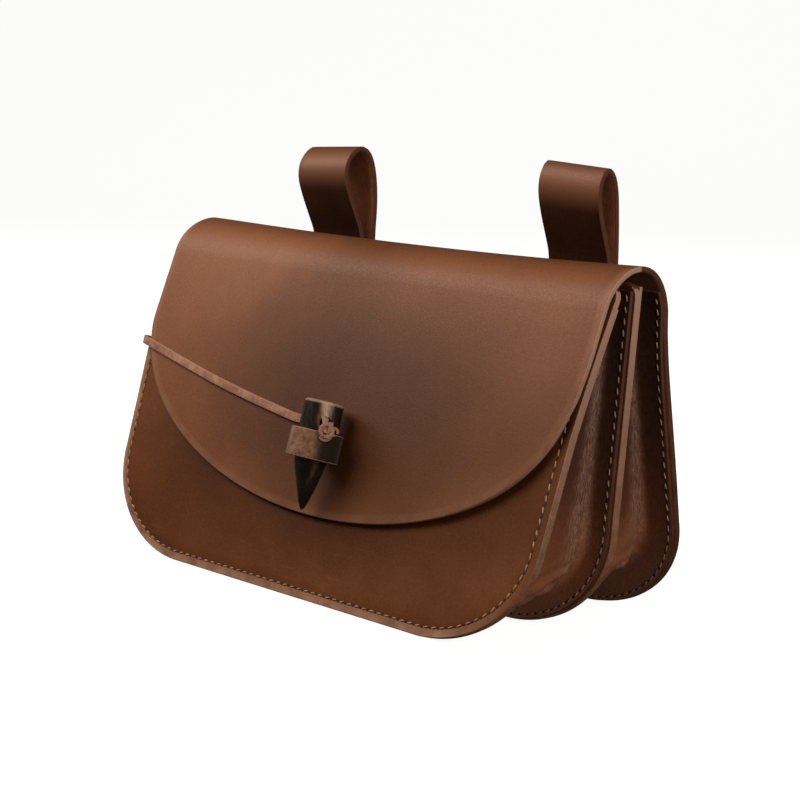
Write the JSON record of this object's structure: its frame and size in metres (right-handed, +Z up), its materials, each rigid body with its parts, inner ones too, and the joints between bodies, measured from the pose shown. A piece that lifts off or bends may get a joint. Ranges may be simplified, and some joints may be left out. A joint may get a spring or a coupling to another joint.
{
  "type": "belt pouch",
  "caption": "Leather belt pouch with gusseted pockets under a rounded flap, a horn toggle on a leather lace, a keeper band and belt loops behind the ridge.",
  "frame": {"origin": "centre of the bounding box at the level of the surface the pouch stands on", "axes": "+X to the right seen from the front, +Y towards the back panel and the belt loops, +Z up"},
  "size_m": [0.2524, 0.0984, 0.1683],
  "materials": {
    "panel_leather": "smooth waxed brown leather, slightly worn",
    "flap_leather": "smooth waxed brown leather with a soft sheen",
    "gusset_leather": "soft glossy brown leather, creased at the fold",
    "strap_leather": "smooth brown strap leather with a reddish flesh side",
    "keeper_leather": "matt grainy brown leather",
    "lace_leather": "pale pinkish tan lace",
    "horn": "polished dark brown horn with paler streaks"
  },
  "bodies": {
    "root": {"front_panel": "panel_leather", "divider_panel": "panel_leather", "back_and_flap": "flap_leather", "front_gusset": "gusset_leather", "rear_gusset": "gusset_leather", "belt_loop_left": "strap_leather", "belt_loop_right": "strap_leather", "keeper_loop": "keeper_leather", "thong": "lace_leather", "horn_toggle": "horn"}
  },
  "joints": []
}
